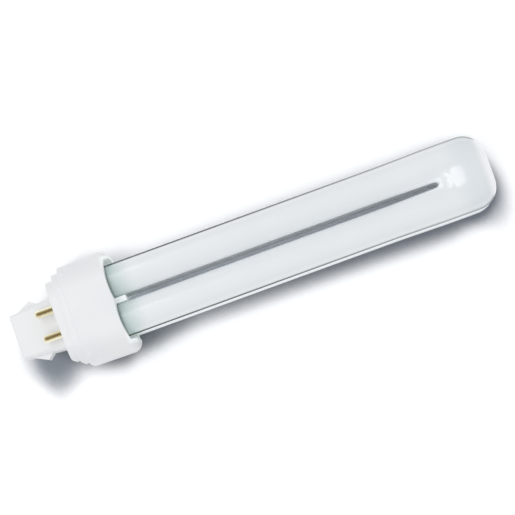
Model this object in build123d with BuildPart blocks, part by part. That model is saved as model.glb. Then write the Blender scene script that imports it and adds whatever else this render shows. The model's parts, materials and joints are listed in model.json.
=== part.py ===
"""Four pin compact fluorescent lamp: two square-bent glass U tubes in a moulded plug-in cap.

The lamp lies on its side on the ground. It touches it at the edge of the cap's collar and at the
far bend of the lower U, so its axis dips a little from the plug towards the bends.
Sizes are in millimetres. The origin is on the ground, under the middle of the lamp's bounding box.
"""

import math
import os

from build123d import *

os.makedirs("parts", exist_ok=True)

# Glass tube
leg_diameter = 11.15
leg_gap = 2.25
tube_reach = 127.8
bend_diameter = 11.7
bend_corner = 8.0
flare_length = 16.0
flare_start = 36.0
slot_reach = 17.7
web_foot = 1.9
web_edge = 2.4
web_crest_gap = 0.08
bridge_diameter = 7.0
bridge_height = 6.0

# Sealed ends of the glass, inside the cap
leg_foot = 13.5
dome_length = 4.2
dome_edge = 4.0
pinch_width = 8.6
pinch_thickness = 2.8
pinch_edge = 1.0
pinch_length = 4.4
pinch_neck = 2.8
exhaust_tip_diameter = 3.6
exhaust_tip_length = 2.6
exhaust_tip_draft = 4.0

# Collar that grips the glass
collar_length = 17.6
collar_rim = 3.4
collar_wall = 2.4
collar_shoulder = 3.3
collar_draft = 0.8
collar_foot_edge = 0.45
pip_radius = 0.9
pip_rise = 0.35
pip_inset = 1.6
end_wall = 2.6
pocket_depth = 2.6
pocket_gap = 1.5
pocket_bow = 0.4
pocket_lift = 0.6
leg_hole_clearance = 0.35
divider_thickness = 1.8
divider_span = 18.0
divider_rise = 0.9

# Base with the plug
first_step_length = 2.6
second_step_length = 2.6
step_inset = 1.7
step_edge = 0.4
base_floor = 3.6
spigot_length = 3.0
spigot_clearance = 0.1
plug_length = 15.0
plug_width = 17.9
plug_depth = 14.6
plug_corner = 2.4
plug_draft = 5.4
plug_wall = 1.3
plug_end_edge = 0.5

# Latch wedges on the plug, measured from its free end
wedge_start = 2.8
wedge_peak = 7.7
wedge_stop = 9.8
wedge_rise = 2.0
wedge_width = 8.0

# Contact pins
pin_diameter = 2.4
pin_reach = 6.2
pin_tip_radius = 1.0
pin_bore_depth = 3.6
pin_shank_diameter = 3.2
pin_flange_diameter = 3.9
pin_flange_thickness = 0.5
pin_spacing = 8.4
pin_row_spacing = 22.4
pin_clearance = 0.02
flange_clearance = 0.15

# Lead wires and cement
wire_diameter = 0.5
wire_spacing = 3.4
wire_bend = 0.8
wire_clearance = 0.03
wire_seal_depth = 2.0
wire_seal_drop = 0.9
wire_pin_rise = 0.9
cement_thickness = 3.0
cement_clearance = 0.05

# Sizes that follow from the ones above
leg_radius = leg_diameter / 2
leg_pitch = leg_diameter + leg_gap
leg_offset = leg_pitch / 2
bend_radius = bend_diameter / 2
cap_length = first_step_length + second_step_length + collar_length
tip = cap_length + tube_reach
collar_foot = first_step_length + second_step_length
pocket_radius = leg_radius + pocket_gap
collar_half = leg_offset + pocket_radius + collar_rim
collar_slope = math.radians(collar_draft)
collar_foot_half = collar_half - collar_length * math.tan(collar_slope)
cavity_half = collar_foot_half - collar_wall
pocket_floor = cap_length - pocket_depth
cavity_top = pocket_floor - end_wall
pinch_foot = leg_foot - pinch_neck - pinch_length
second_step_half = collar_foot_half - step_inset
first_step_half = second_step_half - step_inset
wire_bore = wire_diameter + 2 * wire_clearance

# Attitude at rest: the ground touches the round of the collar's shoulder and that of the lower bend
shoulder_reach = cap_length - collar_shoulder
shoulder_offset = collar_half - collar_shoulder * (1 + math.sin(collar_slope)) / math.cos(collar_slope)
bend_axis = tip - bend_radius
rest_run = bend_axis - shoulder_reach
rest_rise = shoulder_offset - leg_offset
rest_round = math.asin((collar_shoulder - bend_radius) / math.hypot(rest_run, rest_rise))
rest_tilt = math.atan2(rest_rise, rest_run) + rest_round
seat_height = (
    collar_shoulder + shoulder_reach * math.sin(rest_tilt) + shoulder_offset * math.cos(rest_tilt)
)

# The lamp's axis starts at the cap's seat, where the plug stands on the base
plug_end_half = plug_depth / 2 - plug_length * math.tan(math.radians(plug_draft)) - plug_end_edge
low_x = -plug_length * math.cos(rest_tilt) - plug_end_half * math.sin(rest_tilt)
high_x = bend_axis * math.cos(rest_tilt) + leg_offset * math.sin(rest_tilt) + bend_radius
seat_x = -(low_x + high_x) / 2
lamp = Plane(
    origin=(seat_x, 0, seat_height),
    x_dir=(0, 1, 0),
    z_dir=(math.cos(rest_tilt), 0, -math.sin(rest_tilt)),
)


def across(reach):
    """Plane square to the lamp's axis, at a distance from the seat."""
    return lamp.offset(reach)


def plan(height):
    """Plane through the lamp's length and its width, at a height over the axis."""
    return Plane(lamp.origin, x_dir=lamp.z_dir, z_dir=lamp.y_dir).offset(height)


def profile(side):
    """Plane through the lamp's length and its height, at a distance beside the axis."""
    return Plane(lamp.origin, x_dir=lamp.z_dir, z_dir=-lamp.x_dir).offset(-side)


def rounded_square(half):
    """Square outline whose corners are round about the legs' centres."""
    return RectangleRounded(2 * half, 2 * half, half - leg_offset)


def place(side, height, reach):
    """Point given beside, over and along the lamp."""
    return lamp.from_local_coords(Vector(side, height, reach))


lengthwise = Axis(lamp.origin, lamp.z_dir)


# One glass piece: four legs, two square bends, the bridge and the sealed ends
bend_foot = tip - bend_corner
bend_turn = bend_corner - bend_radius
turn_offset = leg_offset - bend_turn
flare_foot = tip - flare_start
flare_top = flare_foot + flare_length
flare_angle = math.degrees(math.atan2(bend_radius - leg_radius, flare_length))
slot_end = tip - slot_reach
web_crest = bend_radius - web_crest_gap
web_middle = (slot_end - web_edge + bend_axis) / 2
web_bulge = (web_foot + 3 * web_crest) / 4

with BuildPart() as discharge_tube:
    # Fused web that closes each slot with a hollow edge and rises to the bend's crest
    for height in (leg_offset, -leg_offset):
        with BuildSketch(profile(0)):
            with BuildLine():
                top = ThreePointArc(
                    (slot_end - web_edge, height + web_foot),
                    (web_middle, height + web_bulge),
                    (bend_axis, height + web_crest),
                )
                bottom = ThreePointArc(
                    (slot_end - web_edge, height - web_foot),
                    (web_middle, height - web_bulge),
                    (bend_axis, height - web_crest),
                )
                Line(top @ 0, bottom @ 0)
                Line(top @ 1, bottom @ 1)
            make_face()
        extrude(amount=leg_offset, both=True)
    with BuildSketch(plan(0)):
        with Locations((slot_end - web_edge, 0)):
            Circle(web_edge)
    extrude(amount=leg_offset + bend_radius, both=True, mode=Mode.SUBTRACT)

    # Straight legs, then the slight flare towards the bends
    with BuildSketch(across(leg_foot)):
        with GridLocations(leg_pitch, leg_pitch, 2, 2):
            Circle(leg_radius)
    extrude(amount=flare_foot - leg_foot)
    with BuildSketch(across(flare_foot)):
        with GridLocations(leg_pitch, leg_pitch, 2, 2):
            Circle(leg_radius)
    extrude(amount=flare_length, taper=-flare_angle)
    with BuildSketch(across(flare_top)):
        with GridLocations(leg_pitch, leg_pitch, 2, 2):
            Circle(bend_radius)
    extrude(amount=bend_foot - flare_top)

    # Corners of the square bends: each turns the outer part of a leg's section by a right angle
    for side in (1, -1):
        with BuildSketch(across(bend_foot)):
            with Locations((side * leg_offset, leg_offset), (side * leg_offset, -leg_offset)):
                Circle(bend_radius)
            with Locations((side * turn_offset, 0)):
                Rectangle(
                    bend_corner,
                    leg_pitch + bend_diameter,
                    align=(Align.MIN if side > 0 else Align.MAX, Align.CENTER),
                    mode=Mode.INTERSECT,
                )
        turn_axis = Axis(place(side * turn_offset, 0, bend_foot), lamp.y_dir * -side)
        revolve(axis=turn_axis, revolution_arc=90)

    # Cross tube between the corners of each bend
    with BuildSketch(profile(0)):
        with Locations((bend_axis, leg_offset), (bend_axis, -leg_offset)):
            Circle(bend_radius)
    extrude(amount=turn_offset, both=True)

    # Bridge fused between the lower and the upper leg on one side
    with BuildSketch(plan(-leg_offset)):
        with Locations((cap_length + bridge_height, leg_offset)):
            Circle(bridge_diameter / 2)
    extrude(amount=leg_pitch)

    # Domed ends on that side, one with the tip of the exhaust tube
    with BuildSketch(across(leg_foot)):
        with Locations((leg_offset, leg_offset), (leg_offset, -leg_offset)):
            Circle(leg_radius)
    extrude(amount=-dome_length)
    fillet(discharge_tube.edges().group_by(lengthwise)[0], dome_edge)
    with BuildSketch(across(leg_foot - dome_length)):
        with Locations((leg_offset, -leg_offset)):
            Circle(exhaust_tip_diameter / 2)
    extrude(amount=-exhaust_tip_length, taper=exhaust_tip_draft)

    # Pinch seals on the other side, flattened over the wires
    for height in (leg_offset, -leg_offset):
        with BuildSketch(across(leg_foot)) as neck_top:
            with Locations((-leg_offset, height)):
                Circle(leg_radius)
        with BuildSketch(across(leg_foot - pinch_neck)) as neck_foot:
            with Locations((-leg_offset, height)):
                RectangleRounded(pinch_width, pinch_thickness, pinch_edge)
        loft()
        extrude(neck_foot.sketch, amount=-pinch_length)
    with BuildSketch(across(pinch_foot)):
        with Locations((-leg_offset, 0)):
            with GridLocations(wire_spacing, leg_pitch, 2, 2):
                Circle(wire_bore / 2)
    extrude(amount=wire_seal_depth, mode=Mode.SUBTRACT)

discharge_tube.part.label = "discharge_tube"
export_step(discharge_tube.part, "parts/discharge_tube.step")


# Collar: a moulded shell whose end wall has a hole for each leg
with BuildPart() as tube_collar:
    with BuildSketch(across(cap_length)):
        rounded_square(collar_half)
    extrude(amount=-collar_length, taper=collar_draft)
    fillet(tube_collar.edges().group_by(lengthwise)[-1], collar_shoulder)
    fillet(tube_collar.edges().group_by(lengthwise)[0], collar_foot_edge)
    with BuildSketch(across(collar_foot)):
        rounded_square(cavity_half)
    extrude(amount=cavity_top - collar_foot, mode=Mode.SUBTRACT)

    # Pockets round the legs, open through the upper and the lower wall in two shallow bows
    with BuildSketch(across(pocket_floor)):
        with GridLocations(leg_pitch, leg_pitch, 2, 2):
            Circle(pocket_radius)
    extrude(amount=collar_length, mode=Mode.SUBTRACT)
    pocket_edge = leg_offset + pocket_radius
    for height in (leg_offset, -leg_offset):
        with BuildSketch(plan(height)):
            with BuildLine():
                for side in (1, -1):
                    ThreePointArc(
                        (pocket_floor, 0),
                        (pocket_floor - pocket_bow, side * pocket_edge / 2),
                        (pocket_floor + pocket_lift, side * pocket_edge),
                    )
                Polyline(
                    (pocket_floor + pocket_lift, pocket_edge),
                    (cap_length + collar_wall, pocket_edge),
                    (cap_length + collar_wall, -pocket_edge),
                    (pocket_floor + pocket_lift, -pocket_edge),
                )
            make_face()
        extrude(amount=math.copysign(collar_half, height), mode=Mode.SUBTRACT)

    # Divider that stands in the gap between each U's legs
    with BuildSketch(across(cavity_top)):
        Rectangle(divider_thickness, divider_span)
    extrude(amount=cap_length + divider_rise - cavity_top)

    # Holes for the legs
    with BuildSketch(across(cavity_top)):
        with GridLocations(leg_pitch, leg_pitch, 2, 2):
            Circle(leg_radius + leg_hole_clearance)
    extrude(amount=collar_length, mode=Mode.SUBTRACT)

    # Small moulded pip on each corner near the foot
    pip_reach = collar_foot + pip_inset
    corner_radius = collar_foot_half + pip_inset * math.tan(collar_slope) - leg_offset
    pip_spot = leg_offset + (corner_radius + pip_rise - pip_radius) / math.sqrt(2)
    with Locations(
        place(pip_spot, pip_spot, pip_reach),
        place(pip_spot, -pip_spot, pip_reach),
        place(-pip_spot, pip_spot, pip_reach),
        place(-pip_spot, -pip_spot, pip_reach),
    ):
        Sphere(pip_radius)

tube_collar.part.label = "tube_collar"
export_step(tube_collar.part, "parts/tube_collar.step")


# Base: two steps, a spigot inside the collar and the hollow plug with its latch wedges
hollow_half = pin_row_spacing / 2 + pin_flange_diameter / 2 + flange_clearance
plug_slope = math.tan(math.radians(plug_draft))


def plug_side(reach):
    """Half the plug's width at a distance from the seat, negative towards the free end."""
    return plug_width / 2 + reach * plug_slope


with BuildPart() as contact_base:
    with BuildSketch(across(first_step_length)):
        rounded_square(second_step_half)
    extrude(amount=second_step_length)
    fillet(contact_base.edges().group_by(lengthwise)[0], step_edge)
    with BuildSketch(across(0)):
        rounded_square(first_step_half)
    extrude(amount=first_step_length)
    fillet(contact_base.edges().group_by(lengthwise)[0], step_edge)
    with BuildSketch(across(0)):
        RectangleRounded(plug_width, plug_depth, plug_corner)
    extrude(amount=-plug_length, taper=plug_draft)
    chamfer(contact_base.edges().group_by(lengthwise)[0], plug_end_edge)
    with BuildSketch(across(collar_foot)):
        rounded_square(cavity_half - spigot_clearance)
    extrude(amount=spigot_length)

    # Hollow from the spigot's end down into the plug
    with BuildSketch(across(base_floor)):
        rounded_square(hollow_half)
    extrude(amount=collar_foot + spigot_length - base_floor, mode=Mode.SUBTRACT)
    with BuildSketch(across(base_floor)):
        Rectangle(plug_width - 2 * plug_wall, plug_depth - 2 * plug_wall)
    extrude(amount=-base_floor, mode=Mode.SUBTRACT)
    with BuildSketch(across(0)):
        Rectangle(plug_width - 2 * plug_wall, plug_depth - 2 * plug_wall)
    extrude(amount=plug_wall - plug_length, taper=plug_draft, mode=Mode.SUBTRACT)

    # Latch wedge on both narrow sides of the plug
    ramp = wedge_start - plug_length
    peak = wedge_peak - plug_length
    stop = wedge_stop - plug_length
    for side in (1, -1):
        with BuildSketch(plan(0)):
            with BuildLine():
                Polyline(
                    (ramp, side * plug_side(ramp)),
                    (peak, side * (plug_side(peak) + wedge_rise)),
                    (stop, side * plug_side(stop)),
                    (stop, side * (plug_side(stop) - plug_wall / 2)),
                    (ramp, side * (plug_side(ramp) - plug_wall / 2)),
                    close=True,
                )
            make_face()
        extrude(amount=wedge_width / 2, both=True)

    # Holes for the contact pins
    with BuildSketch(across(0)):
        with GridLocations(pin_spacing, pin_row_spacing, 2, 2):
            Circle(pin_shank_diameter / 2 + pin_clearance)
    extrude(amount=base_floor, mode=Mode.SUBTRACT)

contact_base.part.label = "contact_base"
export_step(contact_base.part, "parts/contact_base.step")


# Slab of cement under the collar's end wall, cast round the four legs
with BuildPart() as fixing_cement:
    with BuildSketch(across(cavity_top)):
        rounded_square(cavity_half - cement_clearance)
        with GridLocations(leg_pitch, leg_pitch, 2, 2):
            Circle(leg_radius + cement_clearance, mode=Mode.SUBTRACT)
    extrude(amount=-cement_thickness)

fixing_cement.part.label = "fixing_cement"
export_step(fixing_cement.part, "parts/fixing_cement.step")


# Drawn pins, each set in the base's floor, and the wires from the pinch seals to them
contacts = (
    (-pin_spacing / 2, pin_row_spacing / 2, -wire_spacing / 2, leg_offset),
    (pin_spacing / 2, pin_row_spacing / 2, wire_spacing / 2, leg_offset),
    (-pin_spacing / 2, -pin_row_spacing / 2, -wire_spacing / 2, -leg_offset),
    (pin_spacing / 2, -pin_row_spacing / 2, wire_spacing / 2, -leg_offset),
)
pin_head = base_floor + pin_flange_thickness
for number, (pin_side, pin_height, seal_side, seal_height) in enumerate(contacts, 1):
    with BuildPart() as contact_pin:
        with BuildSketch(across(0)):
            with Locations((pin_side, pin_height)):
                Circle(pin_diameter / 2)
        extrude(amount=-pin_reach)
        fillet(contact_pin.edges().group_by(lengthwise)[0], pin_tip_radius)
        with BuildSketch(across(0)):
            with Locations((pin_side, pin_height)):
                Circle(pin_shank_diameter / 2)
        extrude(amount=base_floor)
        with BuildSketch(across(base_floor)):
            with Locations((pin_side, pin_height)):
                Circle(pin_flange_diameter / 2)
        extrude(amount=pin_flange_thickness)
        with BuildSketch(across(pin_head)):
            with Locations((pin_side, pin_height)):
                Circle(wire_bore / 2)
        extrude(amount=-pin_bore_depth, mode=Mode.SUBTRACT)

    contact_pin.part.label = f"contact_pin_{number}"
    export_step(contact_pin.part, f"parts/contact_pin_{number}.step")

    seal_x = seal_side - leg_offset
    with BuildPart() as lead_wire:
        with BuildLine() as route:
            FilletPolyline(
                place(seal_x, seal_height, pinch_foot + wire_seal_depth),
                place(seal_x, seal_height, pinch_foot - wire_seal_drop),
                place(pin_side, pin_height, pin_head + wire_pin_rise),
                place(pin_side, pin_height, pin_head - pin_bore_depth),
                radius=wire_bend,
            )
        with BuildSketch(Plane(origin=route.line @ 0, z_dir=route.line % 0)):
            Circle(wire_diameter / 2)
        sweep(path=route.line)

    lead_wire.part.label = f"lead_wire_{number}"
    export_step(lead_wire.part, f"parts/lead_wire_{number}.step")
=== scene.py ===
"""Looks of a four pin compact fluorescent lamp that lies on a white table."""

import json
import math

import bpy
from mathutils import Matrix, Vector


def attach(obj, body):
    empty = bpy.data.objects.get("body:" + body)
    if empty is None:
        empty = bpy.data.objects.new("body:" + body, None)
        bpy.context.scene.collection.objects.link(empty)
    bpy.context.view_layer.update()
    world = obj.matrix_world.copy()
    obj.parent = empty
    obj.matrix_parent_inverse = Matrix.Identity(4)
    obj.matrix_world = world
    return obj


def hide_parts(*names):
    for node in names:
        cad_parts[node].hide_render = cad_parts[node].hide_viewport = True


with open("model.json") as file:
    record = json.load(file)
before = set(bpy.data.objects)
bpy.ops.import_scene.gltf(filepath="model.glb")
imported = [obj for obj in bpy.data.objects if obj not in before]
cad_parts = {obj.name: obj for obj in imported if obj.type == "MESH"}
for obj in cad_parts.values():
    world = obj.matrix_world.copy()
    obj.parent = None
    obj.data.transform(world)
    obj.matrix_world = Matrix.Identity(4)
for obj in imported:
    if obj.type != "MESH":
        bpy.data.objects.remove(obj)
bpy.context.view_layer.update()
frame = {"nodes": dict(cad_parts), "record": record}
nodes = frame["nodes"]


# Discharge tube: two glass U tubes, one over the other, whose legs stand in the cap. The glass is drawn,
# pressed into square bends while it is soft, and coated inside with white phosphor. A copy of the CAD
# node is remeshed and smoothed, so that the fused web between the legs flows into the bend.
mm = 0.001
mounts = {mount["name"]: mount for mount in frame["record"]["mounts"]}
pin_names = ["contact_pin_%d" % number for number in (1, 2, 3, 4)]
pins = [Vector(mounts[name]["pos_m"]) for name in pin_names]
pin_length = mounts["contact_pin_1"]["dims"]["length_mm"] * mm

# The lamp's own directions: along its axis to the bends, beside the axis over the table, and over it.
# Places are measured from the cap's seat, on the axis where the pins leave the base.
along = -Vector(mounts["contact_pin_1"]["axis"]).normalized()
beside = Vector((0, 1, 0))
over = along.cross(beside)
seat = sum(pins, Vector()) / len(pins) + along * pin_length / 2
tip_reach = max((vertex.co - seat).dot(along) for vertex in nodes["discharge_tube"].data.vertices)
slot_end = tip_reach - 17.7 * mm

# Sizes of the smoothing
voxel_size = 0.52 * mm
merge_distance = 0.002 * mm
melt_start = tip_reach - 21.0 * mm
melt_half_width = 9.5 * mm
melt_fade = 3.0 * mm
melt_rounds = 40
even_rounds = 6
smooth_factor = 0.5

bpy.ops.object.select_all(action="DESELECT")
nodes["discharge_tube"].select_set(True)
bpy.context.view_layer.objects.active = nodes["discharge_tube"]
bpy.ops.object.duplicate()
tube = bpy.context.object
tube.name = "glass_tube"
bpy.ops.object.mode_set(mode="EDIT")
bpy.ops.mesh.select_all(action="SELECT")
bpy.ops.mesh.remove_doubles(threshold=merge_distance)
bpy.ops.object.mode_set(mode="OBJECT")
skin = tube.modifiers.new("skin", "REMESH")
skin.mode = "VOXEL"
skin.voxel_size = voxel_size
skin.use_smooth_shade = True
bpy.ops.object.modifier_apply(modifier="skin")

flow = tube.vertex_groups.new(name="flow")
for vertex in tube.data.vertices:
    place = vertex.co - seat
    past_start = (place.dot(along) - melt_start) / melt_fade
    inside_edge = (melt_half_width - abs(place.dot(beside))) / melt_fade
    if past_start > 0:
        weight = max(0.0, min(1.0, past_start, inside_edge))
        flow.add([vertex.index], weight, "REPLACE")
melt = tube.modifiers.new("melt", "SMOOTH")
melt.vertex_group = "flow"
melt.factor = smooth_factor
melt.iterations = melt_rounds
even = tube.modifiers.new("even", "SMOOTH")
even.factor = smooth_factor
even.iterations = even_rounds
for name in ("melt", "even"):
    bpy.ops.object.modifier_apply(modifier=name)
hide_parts("discharge_tube")
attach(tube, "root")


class Field:
    """A socket of a material's nodes: arithmetic on it, and its methods, add the nodes that work it out."""

    def __init__(self, tree, socket=None):
        self.tree = tree
        self.socket = socket

    def node(self, kind, inputs, output=0, **settings):
        """Adds a node with its settings and the values or links of its sockets."""
        made = self.tree.nodes.new("ShaderNode" + kind)
        for name, value in settings.items():
            setattr(made, name, value)
        for name, value in inputs.items():
            if isinstance(value, Field):
                self.tree.links.new(value.socket, made.inputs[name])
            else:
                made.inputs[name].default_value = value
        return Field(self.tree, made.outputs[output])

    def math(self, operation, *values):
        return self.node("Math", dict(enumerate(values)), operation=operation)

    def __add__(self, other):
        return self.math("ADD", self, other)

    def __sub__(self, other):
        return self.math("SUBTRACT", self, other)

    def __mul__(self, other):
        return self.math("MULTIPLY", self, other)

    def __radd__(self, other):
        return self.math("ADD", other, self)

    def __rsub__(self, other):
        return self.math("SUBTRACT", other, self)

    def __rmul__(self, other):
        return self.math("MULTIPLY", other, self)

    def __abs__(self):
        return self.math("ABSOLUTE", self)

    def max_with(self, other):
        return self.math("MAXIMUM", self, other)

    def rise(self, low, high):
        """Goes smoothly from 0 to 1 while the value goes from low to high."""
        inputs = {"Value": self, "From Min": low, "From Max": high}
        return self.node("MapRange", inputs, interpolation_type="SMOOTHSTEP")

    def fall(self, low, high):
        """Goes smoothly from 1 to 0 while the value goes from low to high."""
        return 1 - self.rise(low, high)

    def near(self, place, inner, outer):
        """1 up to the inner distance from a place, and 0 from the outer one on."""
        return abs(self - place).fall(inner, outer)

    def mix(self, first, second):
        """Colour between two others. The node's colours are its sockets 6 and 7, and its output 2."""
        inputs = {"Factor": self, 6: first, 7: second}
        return self.node("Mix", inputs, output=2, data_type="RGBA")

    def bump(self, strength, depth):
        return self.node("Bump", {"Height": self, "Strength": strength, "Distance": depth})


def material(name, **fixed):
    """New material with its shader and the position on the object that its patterns start from."""
    made = bpy.data.materials.new(name)
    made.use_nodes = True
    shader = made.node_tree.nodes["Principled BSDF"]
    for socket, value in fixed.items():
        shader.inputs[socket.replace("_", " ")].default_value = value
    spot = Field(made.node_tree).node("TexCoord", {}, output="Object")
    return made, shader, spot


def feed(shader, **values):
    """Links varying values to the shader's sockets."""
    for socket, value in values.items():
        value.tree.links.new(value.socket, shader.inputs[socket.replace("_", " ")])


def dress(names, made):
    """Gives CAD nodes their material."""
    for name in names:
        for slot in nodes[name].material_slots:
            slot.material = made


def noise(spot, scale, detail=3.0):
    """Cloudy pattern with about that many waves to the metre."""
    return spot.node("TexNoise", {"Vector": spot, "Scale": scale, "Detail": detail})


def distance(spot, direction):
    """How far a place on the object is from the cap's seat in a direction."""
    dot = spot.node("VectorMath", {0: spot, 1: direction}, output="Value", operation="DOT_PRODUCT")
    return dot - seat.dot(direction)


# Colours of the coat, which is thin and green where the legs enter the collar, with painted shade from the
# collar's lip there, painted deep shade inside the collar's mouth, a little darker in the bends and painted
# light at their rim
black = (0, 0, 0, 1)
coat_clouds = 60.0
cloud_edges = (0.3, 0.7)
coat_dull = (0.9, 0.925, 0.94, 1)
coat_light = (0.92, 0.94, 0.955, 1)
root_tint_and_lip_shade = (0.55, 0.67, 0.64, 1)
painted_mouth_shade = (0.25, 0.32, 0.29, 1)
coat_bend = (0.82, 0.86, 0.885, 1)
painted_rim_light_colour = (0.98, 0.985, 0.99, 1)
painted_glow_colour = (0.12, 0.125, 0.128, 1)
root_tint_and_shade_zone = (19.5 * mm, 29.0 * mm)
painted_mouth_shade_zone = (19.8 * mm, 21.0 * mm)
bend_middle = tip_reach - 7.5 * mm
bend_spread = 8.0 * mm
painted_rim_light_zone = (tip_reach - 4.0 * mm, tip_reach - 1.5 * mm)

glass, shader, spot = material("coated_glass", Roughness=0.15, IOR=1.8, Emission_Strength=1.0)
reach = distance(spot, along)
aside = abs(distance(spot, beside))
height = distance(spot, over)
coat = noise(spot, coat_clouds).rise(*cloud_edges).mix(coat_dull, coat_light)
# The root colour is partly the thin green coat and partly painted shade from the collar's lip
coat = reach.fall(*root_tint_and_shade_zone).mix(coat, root_tint_and_lip_shade)
# Painted shade: the glass just inside the collar's mouth is darkened, where the lip shades it
coat = reach.fall(*painted_mouth_shade_zone).mix(coat, painted_mouth_shade)
coat = reach.near(bend_middle, 0.0, bend_spread).mix(coat, coat_bend)
# Painted light: the far rim of the bends is made paler, as if lit, and it glows below as well
painted_rim_light = reach.rise(*painted_rim_light_zone)
coat = painted_rim_light.mix(coat, painted_rim_light_colour)
feed(shader, Base_Color=coat)

# Painted light: light scatters on inside the white coat, and a faint glow painted as emission stands for it
# on the sides of the slot, on the far rim of the bends and on the outer sides of the lower tube.
slot_lip = (1.1 * mm, 2.1 * mm)
slot_crown = (6.8 * mm, 8.0 * mm)
slot_start = (22.0 * mm, 30.0 * mm)
slot_fade = 1.2 * mm
inner_side = (2.5 * mm, 4.0 * mm)
outer_side = (10.0 * mm, 11.5 * mm)
lower_tube = (-4.5 * mm, -3.5 * mm)
inner_glow = 0.08
rim_glow = 0.65
lower_glow = 0.8
slot_glow = aside.fall(*slot_lip) * abs(height).rise(*slot_crown) * reach.rise(*slot_start)
slot_glow = slot_glow * reach.fall(slot_end, slot_end + slot_fade)
painted_glow = slot_glow + aside.fall(*inner_side) * inner_glow + painted_rim_light * rim_glow
painted_glow = painted_glow + aside.rise(*outer_side) * height.fall(*lower_tube) * lower_glow
feed(shader, Emission_Color=painted_glow.mix(black, painted_glow_colour))

# Small dents where the web was fused, just past the slot's end
dent_scale = 520.0
dent_detail = 2.0
dent_middle = slot_end + 2.1 * mm
dent_zone = (0.2 * mm, 2.7 * mm)
dent_width = (2.0 * mm, 5.5 * mm)
dent_depth = 0.8 * mm
dent_strength = 0.4
dents = noise(spot, dent_scale, dent_detail)
dents = dents * reach.near(dent_middle, *dent_zone) * aside.fall(*dent_width)
feed(shader, Normal=dents.bump(dent_strength, dent_depth))

# Painted reflection: a thin dark line is painted down the upper tube's outer sides where they turn edge-on,
# strongest near the cap, for the shadowed table reflected in the clear wall outside the coat
painted_edge_colour = (0.08, 0.1, 0.09, 1)
edge_line_turn = (0.5, 0.72)
edge_line_side = (9.0 * mm, 10.5 * mm)
edge_line_height = (-4.0 * mm, 0.0)
edge_line_fade = (40.0 * mm, 160.0 * mm)
edge_line_strength = 0.95
edge_line_loss = 0.5
painted_edge_line = spot.node("LayerWeight", {}, output="Facing").rise(*edge_line_turn) * edge_line_strength
painted_edge_line = painted_edge_line * (1 - edge_line_loss * reach.rise(*edge_line_fade)) * aside.rise(*edge_line_side) * height.rise(*edge_line_height)
painted_edge_shader = spot.node("BsdfPrincipled", {"Base Color": painted_edge_colour, "Specular IOR Level": 0.0})
coated = Field(glass.node_tree, shader.outputs["BSDF"])
surface = spot.node("MixShader", {0: painted_edge_line, 1: coated, 2: painted_edge_shader})
glass.node_tree.links.new(surface.socket, glass.node_tree.nodes["Material Output"].inputs["Surface"])
tube.data.materials.clear()
tube.data.materials.append(glass)
dress(["discharge_tube"], glass)


# Fixing cement: a hard sandy slab under the collar's end wall. It is poured wet round the legs, and sets
# to hold them in the collar.
cement_sand = (0.62, 0.58, 0.5, 1)
cement_pale = (0.78, 0.75, 0.68, 1)
sand_scale = 1200.0
sand_detail = 6.0
sand_depth = 0.3 * mm
sand_strength = 0.4
cement, shader, spot = material("lamp_cement", Roughness=0.85)
sand = noise(spot, sand_scale, sand_detail)
feed(shader, Base_Color=sand.mix(cement_sand, cement_pale))
feed(shader, Normal=sand.bump(sand_strength, sand_depth))
dress(["fixing_cement"], cement)


# Lead wires: thin nickel wires that come out of the glass through its pinch seals and are pinched in the
# hollow pins. The closed cap hides them.
nickel_dark = (0.5, 0.48, 0.44, 1)
nickel_light = (0.66, 0.64, 0.6, 1)
tarnish_scale = 700.0
nickel, shader, spot = material("wire_nickel", Roughness=0.3, Metallic=1.0)
feed(shader, Base_Color=noise(spot, tarnish_scale).mix(nickel_dark, nickel_light))
dress(["lead_wire_%d" % number for number in (1, 2, 3, 4)], nickel)


# Collar and base: two mouldings of white heatproof plastic with a satin skin. The collar grips the legs,
# and the base, with its plug and latches, fits into the collar's foot.
plastic_dull = (0.9, 0.91, 0.915, 1)
plastic_light = (0.925, 0.93, 0.93, 1)
plastic_clouds = 90.0
grain_scale = 1800.0
grain_depth = 0.1 * mm
grain_strength = 0.08
moulding, shader, spot = material("white_moulding", Roughness=0.38, IOR=1.48, Emission_Strength=1.0)
clouds = noise(spot, plastic_clouds).rise(*cloud_edges)
feed(shader, Base_Color=clouds.mix(plastic_dull, plastic_light))
feed(shader, Normal=noise(spot, grain_scale).bump(grain_strength, grain_depth))

# Painted light: the collar's thin mouth and its divider glow faintly, which stands for light let through
# their thin walls
painted_mouth_light = (0.15, 0.165, 0.16, 1)
mouth_width = (14.5 * mm, 15.5 * mm)
mouth_height = (15.5 * mm, 16.5 * mm)
mouth_start = (19.0 * mm, 21.0 * mm)
painted_mouth_mask = abs(distance(spot, beside)).fall(*mouth_width) * abs(distance(spot, over)).fall(*mouth_height)
painted_mouth_mask = painted_mouth_mask * distance(spot, along).rise(*mouth_start)
feed(shader, Emission_Color=painted_mouth_mask.mix(black, painted_mouth_light))
dress(["tube_collar", "contact_base"], moulding)


# Contact pins: hollow pins of drawn brass, two on each wide side of the plug, riveted in the base's
# floor. Each has a dark line along its middle that ends before the round tip.
brass_deep = (0.94, 0.82, 0.5, 1)
brass_pale = (1.0, 0.93, 0.68, 1)
middle_line_colour = (0.12, 0.085, 0.03, 1)
streak_scale = 900.0
smoothest = 0.18
roughness_spread = 0.14
middle_line_place = abs((pins[0] - seat).dot(beside))
middle_line_width = (0.2 * mm, 0.8 * mm)
middle_line_end = (-6.1 * mm, -5.1 * mm)
brass, shader, spot = material("pin_brass", Metallic=1.0)
streak = noise(spot, streak_scale)
middle_line = abs(distance(spot, beside)).near(middle_line_place, *middle_line_width) * distance(spot, along).rise(*middle_line_end)
feed(shader, Base_Color=middle_line.mix(streak.mix(brass_deep, brass_pale), middle_line_colour))
feed(shader, Roughness=smoothest + streak.rise(*cloud_edges) * roughness_spread)
dress(pin_names, brass)
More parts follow.
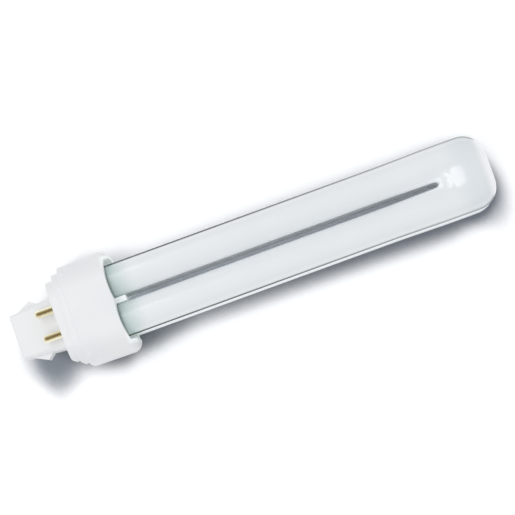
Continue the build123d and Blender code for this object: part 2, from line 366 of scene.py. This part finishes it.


# Table: a smooth matt white sheet that the lamp lies on. Other rays meet plain white, while the camera,
# reflections and glass meet a white background with a painted shadow, whose depth follows how much of the
# sky the lamp hides.
sheet_size = 4
sheet_white = (0.85, 0.85, 0.85, 1)
paper_white = (1.3, 1.3, 1.3, 1)
shadow_grey = (0.29, 0.315, 0.36, 1)
painted_slot_light = (1.4, 1.47, 1.58, 1)
slot_grey = (0.74, 0.775, 0.83, 1)
shadow_reach = 24.0 * mm
contact_reach = 12.0 * mm
shadow_samples = 32
contact_samples = 16
lit_from = (0.0, 0.68, 0.73)
plug_end = (-12.0 * mm, 6.0 * mm)
bend_end = (tip_reach - 14.0 * mm, tip_reach + 2.0 * mm)
plug_shade = 0.34
bend_shade = 0.27
contact_shade = 0.28
shadow_edges = (0.32, 0.53)
contact_edges = (0.6, 0.84)
slot_light_edges = (0.12, 0.32)
slot_sky_edges = (0.36, 0.5)
slot_side_edges = (3.0 * mm, 5.0 * mm)
bpy.ops.mesh.primitive_plane_add(size=sheet_size)
floor = bpy.context.object
floor.name = "floor"
paper = bpy.data.materials.new("paper")
paper.use_nodes = True
start = Field(paper.node_tree)
spot = start.node("TexCoord", {}, output="Object")
reach = distance(spot, along)

# Painted shadow: ambient occlusion towards a leaning way, not a lamp, sets the tone, so the shadow lies on
# the side turned from that way; it is painted deeper at both ends of the lamp and next to it
light_way = start.node("CombineXYZ", dict(enumerate(lit_from)))
inputs = {"Normal": light_way, "Distance": shadow_reach}
painted_lightness = start.node("AmbientOcclusion", inputs, output="AO", samples=shadow_samples)
painted_lightness = painted_lightness - reach.fall(*plug_end) * plug_shade - reach.rise(*bend_end) * bend_shade
sky = start.node("AmbientOcclusion", {"Distance": contact_reach}, output="AO", samples=contact_samples)
contact = 1 - contact_shade * sky.fall(*contact_edges)
tone = contact.mix(black, painted_lightness.rise(*shadow_edges).mix(shadow_grey, paper_white))

# Painted light: between the two legs the table's shadow is lifted to an even grey, seen through the slot
painted_slot_tone = sky.rise(*slot_light_edges).mix(painted_slot_light, slot_grey)
off_slot = sky.rise(*slot_sky_edges).max_with(abs(distance(spot, beside)).rise(*slot_side_edges))
tone = off_slot.mix(painted_slot_tone, tone)
plain = start.node("BsdfDiffuse", {"Color": sheet_white})
background = start.node("BsdfDiffuse", {"Color": tone})
shown = start.node("LightPath", {}, output="Is Camera Ray")
for ray in ("Is Glossy Ray", "Is Transmission Ray"):
    shown = shown.max_with(start.node("LightPath", {}, output=ray))
surface = start.node("MixShader", {0: shown, 1: plain, 2: background})
paper.node_tree.links.new(surface.socket, paper.node_tree.nodes["Material Output"].inputs["Surface"])
floor.data.materials.append(paper)


# Camera: looks straight down on the lamp but for a small roll about its axis, and is turned so that the
# lamp slants up to the right. It aims at a point beside the middle of the lamp.
frame_width = 170.3 * mm
view_distance = 800.0 * mm
sensor_width = 36
slant = math.radians(20.0)
roll = math.radians(4.6)
sight_reach = 68.5 * mm
sight_side = 1.8 * mm
view_up = beside * math.cos(roll) + over * math.sin(roll)
view_back = over * math.cos(roll) - beside * math.sin(roll)
camera_right = along * math.cos(slant) - view_up * math.sin(slant)
camera_up = along * math.sin(slant) + view_up * math.cos(slant)
camera_spot = seat + along * sight_reach - view_up * sight_side + view_back * view_distance
bpy.ops.object.camera_add()
camera = bpy.context.object
turn = Matrix((camera_right, camera_up, view_back)).transposed()
camera.matrix_world = Matrix.Translation(camera_spot) @ turn.to_4x4()
camera.data.sensor_width = sensor_width
camera.data.lens = sensor_width * view_distance / frame_width
bpy.context.scene.camera = camera


# Light: the even white of a studio tent, and a long softbox high up, nearer to the plug's end of the
# lamp, that gives the highlights on the glass.
room_colour = (0.965, 0.98, 1, 1)
room_strength = 0.69
box_length = 1.9
box_width = 0.42
box_distance = 1.2
box_power = 4.4
box_way = (beside * 0.02 + Vector((0, 0, 0.85)) - along * 0.24).normalized()
world = bpy.data.worlds.new("room")
bpy.context.scene.world = world
world.use_nodes = True
world.node_tree.nodes["Background"].inputs["Color"].default_value = room_colour
world.node_tree.nodes["Background"].inputs["Strength"].default_value = room_strength
bpy.ops.object.light_add(type="AREA", location=box_way * box_distance)
softbox = bpy.context.object
softbox.data.shape = "RECTANGLE"
softbox.data.size = box_length
softbox.data.size_y = box_width
softbox.data.energy = box_power
softbox.rotation_euler = box_way.to_track_quat("Z", "Y").to_euler()
bpy.context.scene.view_settings.view_transform = "Standard"
